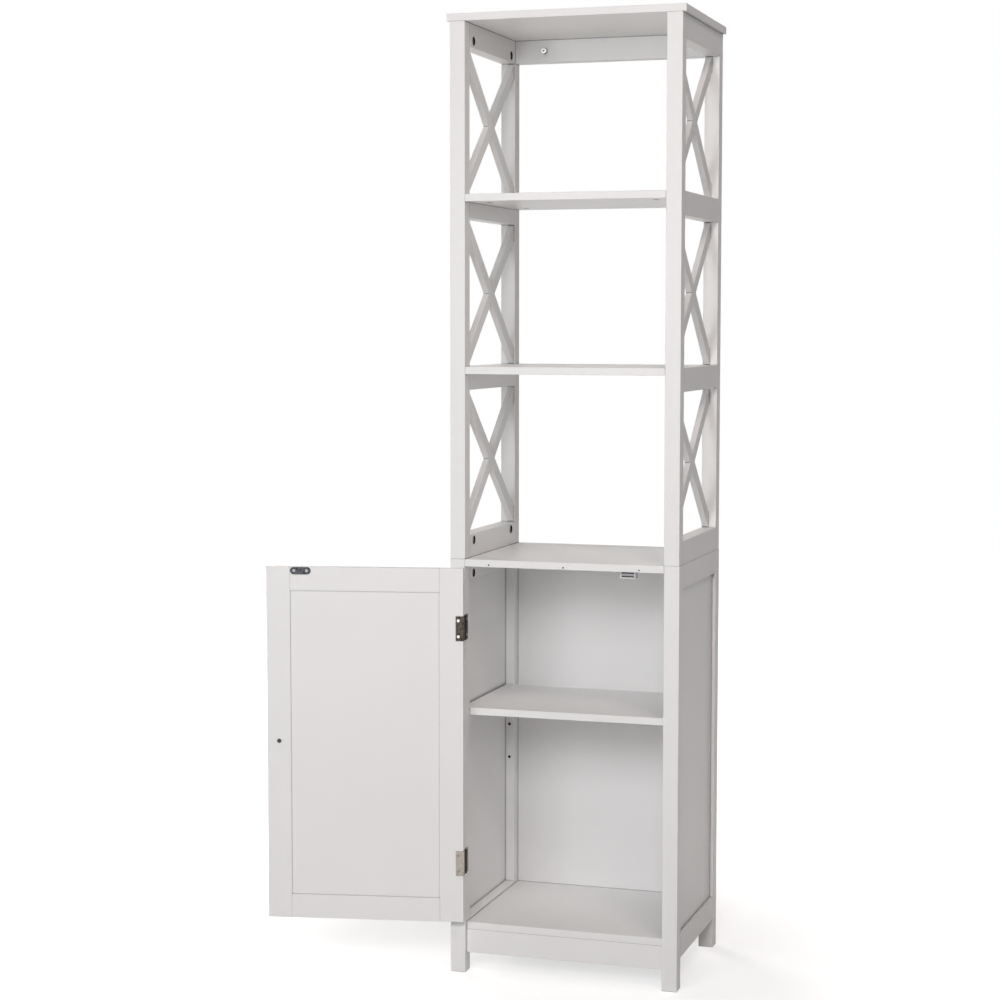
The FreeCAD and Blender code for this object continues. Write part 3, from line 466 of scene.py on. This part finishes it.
# a thin cup with its open mouth at the origin, sunk toward the back
def modelLining(radius, depth):
    deselectAll()
    length = depth - 2 * holeShadeLining["clearance"]
    bpy.ops.mesh.primitive_cylinder_add(
        vertices=holeShadeLining["sides"], radius=radius - holeShadeLining["clearance"], depth=length,
        location=(0, holeShadeLining["clearance"] + length / 2, 0), rotation=(math.radians(90), 0, 0))
    lining = bpy.context.object
    bpy.ops.object.transform_apply(location=True, rotation=True, scale=True)
    bpy.ops.object.mode_set(mode="EDIT")
    bpy.ops.mesh.select_mode(type="FACE")
    bpy.ops.mesh.select_all(action="DESELECT")
    bpy.ops.object.mode_set(mode="OBJECT")
    min(lining.data.polygons, key=lambda face: face.center.y).select = True      # the face at the mouth
    bpy.ops.object.mode_set(mode="EDIT")
    bpy.ops.mesh.inset(thickness=holeShadeLining["wall"], depth=0)
    sink = (0, length - holeShadeLining["wall"], 0)
    bpy.ops.mesh.extrude_region_move(TRANSFORM_OT_translate={"value": sink})
    bpy.ops.object.mode_set(mode="OBJECT")
    lining.data.materials.append(holeShadeFibreboard)
    return lining


# a copy of the cup in its hole, turned round where the hole goes in from the back
def lineHole(lining, name, mouth, fromBack):
    deselectAll()
    piece = bpy.data.objects.new(name, lining.data.copy())
    bpy.context.scene.collection.objects.link(piece)
    piece.location = mouth
    piece.rotation_euler.z = math.pi if fromBack else 0
    piece.select_set(True)
    bpy.context.view_layer.objects.active = piece
    bpy.ops.object.transform_apply(location=True, rotation=True, scale=True)
    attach(piece, "cabinet")


pinHoles = {
    "radius": 2.5 * mm, "depth": 10 * mm, "rows": (366 * mm, 308 * mm), "inset": 16 * mm,
    "columns": ("lower_left_front_leg", "lower_left_back_leg",
                "lower_right_front_leg", "lower_right_back_leg"),
}
pinLining = modelLining(pinHoles["radius"], pinHoles["depth"])
for legName in pinHoles["columns"]:
    low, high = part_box(legName)
    isFront = "front" in legName
    x = low.x + pinHoles["inset"] if "left" in legName else high.x - pinHoles["inset"]
    y = high.y if isFront else low.y
    for row, z in enumerate(pinHoles["rows"]):
        lineHole(pinLining, "pinHoleShadeLining_%s_%d" % (legName, row), (x, y, z), fromBack=isFront)

pilotHoles = {"radius": 1.3 * mm, "depth": 6 * mm, "spacing": 125 * mm, "drop": 8.5 * mm}
pilotLining = modelLining(pilotHoles["radius"], pilotHoles["depth"])
low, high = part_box("middle_board")
for index, column in enumerate((-1, 0, 1)):
    mouth = (column * pilotHoles["spacing"], low.y, high.z - pilotHoles["drop"])
    lineHole(pilotLining, "pilotHoleShadeLining_%d" % index, mouth, fromBack=False)

for lining in (pinLining, pilotLining):
    bpy.data.objects.remove(lining)
print("hole linings done")


# stage, lights and camera

# 1 for rays that see the background plainly, straight or in metal and glass
def seenPlainly(tree):
    path = addNode(tree, "ShaderNodeLightPath").outputs
    mirrored = addMath(tree, "MAXIMUM", path["Is Glossy Ray"], path["Is Transmission Ray"])
    return addMath(tree, "MAXIMUM", path["Is Camera Ray"], mirrored)


floorLook = {
    "size": 14.0, "drop": 0.4 * mm, "tone": 0.82, "drift": 1.01, "cloudScale": 3.0, "gloss": 0.9,
    "glow": (0.55, 1.0), "glowRadius": (0.2, 0.9),         # its own light, near the cabinet and away
}


def buildFloor():
    deselectAll()
    bpy.ops.mesh.primitive_plane_add(size=floorLook["size"], location=(0, 0, -floorLook["drop"]))
    floor = bpy.context.object
    floor.name = "floor"
    bpy.ops.object.transform_apply(location=True, rotation=True, scale=True)
    material, tree, shader = newMaterial("paleFloor")
    place = objectPlace(tree)
    cloud = addNoise(tree, place, floorLook["cloudScale"])
    levels = (floorLook["tone"], floorLook["tone"] * floorLook["drift"])
    darker, lighter = ((level, level, level, 1) for level in levels)
    feed(tree, shader.inputs["Base Color"], addMix(tree, cloud, darker, lighter))
    feed(tree, shader.inputs["Roughness"], floorLook["gloss"])
    feed(tree, shader.inputs["Specular IOR Level"], 0.0)
    distance = addNode(tree, "ShaderNodeVectorMath", operation="LENGTH")
    feed(tree, distance.inputs[0], place)
    glow = addSpread(tree, distance.outputs["Value"], floorLook["glowRadius"], "SMOOTHSTEP")
    for label, level in zip(("To Min", "To Max"), floorLook["glow"]):
        feed(tree, glow.inputs[label], level)
    strength = addMath(tree, "MULTIPLY", seenPlainly(tree), glow.outputs["Result"])
    feed(tree, shader.inputs["Emission Strength"], strength)
    feed(tree, shader.inputs["Emission Color"], (1, 1, 1, 1))
    floor.data.materials.append(material)


worldLook = {"light": 0.03, "backdrop": 1.0}


def buildWorld():
    world = bpy.data.worlds.new("paleStudio")
    bpy.context.scene.world = world
    world.use_nodes = True
    tree = world.node_tree
    background = tree.nodes["Background"]
    feed(tree, background.inputs["Color"], (1, 1, 1, 1))
    extra = addMath(tree, "MULTIPLY", seenPlainly(tree), worldLook["backdrop"] - worldLook["light"])
    feed(tree, background.inputs["Strength"], addMath(tree, "ADD", extra, worldLook["light"]))


# each lamp's bearing is counted from straight in front, rightward; all look at one point of the cabinet
lampAim = Vector((0, 0, 0.75))
lampSet = {
    "front": {"bearing": 10, "rise": 20, "distance": 4.2, "size": 1.2,
              "power": 43.6, "tint": (1.00, 0.98, 0.98)},
    "frontLow": {"bearing": -12, "rise": 10, "distance": 2.6, "size": 0.8,
                 "power": 14.7, "tint": (0.97, 0.99, 1.00)},
    "rightUpper": {"bearing": 35, "rise": 45, "distance": 4.2, "size": 1.2,
                   "power": 36.8, "tint": (1.00, 0.89, 0.84)},
    "leftBehind": {"bearing": -137, "rise": 14, "distance": 4.2, "size": 1.6,
                   "power": 64.0, "tint": (1.00, 0.94, 0.88)},
}


def addLamp(name, settings):
    lamp = bpy.data.lights.new(name, "AREA")
    lamp.shape = "SQUARE"
    lamp.size = settings["size"]
    lamp.energy = settings["power"]
    lamp.color = settings["tint"]
    holder = bpy.data.objects.new(name, lamp)
    bearing, rise = (math.radians(settings[key]) for key in ("bearing", "rise"))
    level = math.cos(rise)
    toward = Vector((math.sin(bearing) * level, -math.cos(bearing) * level, math.sin(rise)))
    holder.location = lampAim + toward * settings["distance"]
    holder.rotation_euler = (-toward).to_track_quat("-Z", "Y").to_euler()
    bpy.context.scene.collection.objects.link(holder)


cameraSet = {
    "place": (0.9749, -3.5049, 1.0628), "turn": (85.4252, -0.0235, 17.8367),
    "lens": 79.269, "sensor": 36, "farthest": 50,
}


def buildCamera():
    camera = bpy.data.cameras.new("photographView")
    camera.lens = cameraSet["lens"]
    camera.sensor_width = cameraSet["sensor"]
    camera.clip_end = cameraSet["farthest"]
    holder = bpy.data.objects.new("photographView", camera)
    holder.location = cameraSet["place"]
    holder.rotation_euler = [math.radians(angle) for angle in cameraSet["turn"]]
    bpy.context.scene.collection.objects.link(holder)
    bpy.context.scene.camera = holder


buildFloor()
buildWorld()
for name, settings in lampSet.items():
    addLamp(name, settings)
buildCamera()
bpy.context.scene.view_settings.view_transform = "Standard"
print("stage, lights and camera done")
